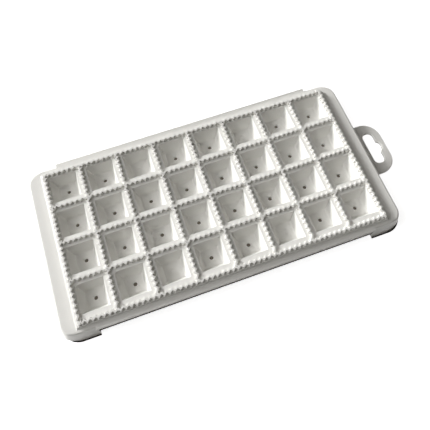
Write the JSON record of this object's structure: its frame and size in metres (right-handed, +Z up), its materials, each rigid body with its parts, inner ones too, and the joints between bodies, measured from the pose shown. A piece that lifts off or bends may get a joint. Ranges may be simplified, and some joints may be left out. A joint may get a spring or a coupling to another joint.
{
  "type": "ravioli mould",
  "caption": "White plastic ravioli mould: a shallow tray with a grid of square pockets, zigzag cutting ridges between them and a flat slotted handle at one end.",
  "frame": {"origin": "centre of the overall outline, handle included, on the table that the tray stands on", "axes": "+X along the tray towards its handle, +Y across the tray, +Z up out of the pockets"},
  "size_m": [0.3414, 0.164, 0.0207],
  "materials": {
    "white_plastic": "satin"
  },
  "bodies": {
    "root": {"ravioli_tray": "white_plastic"}
  },
  "joints": []
}
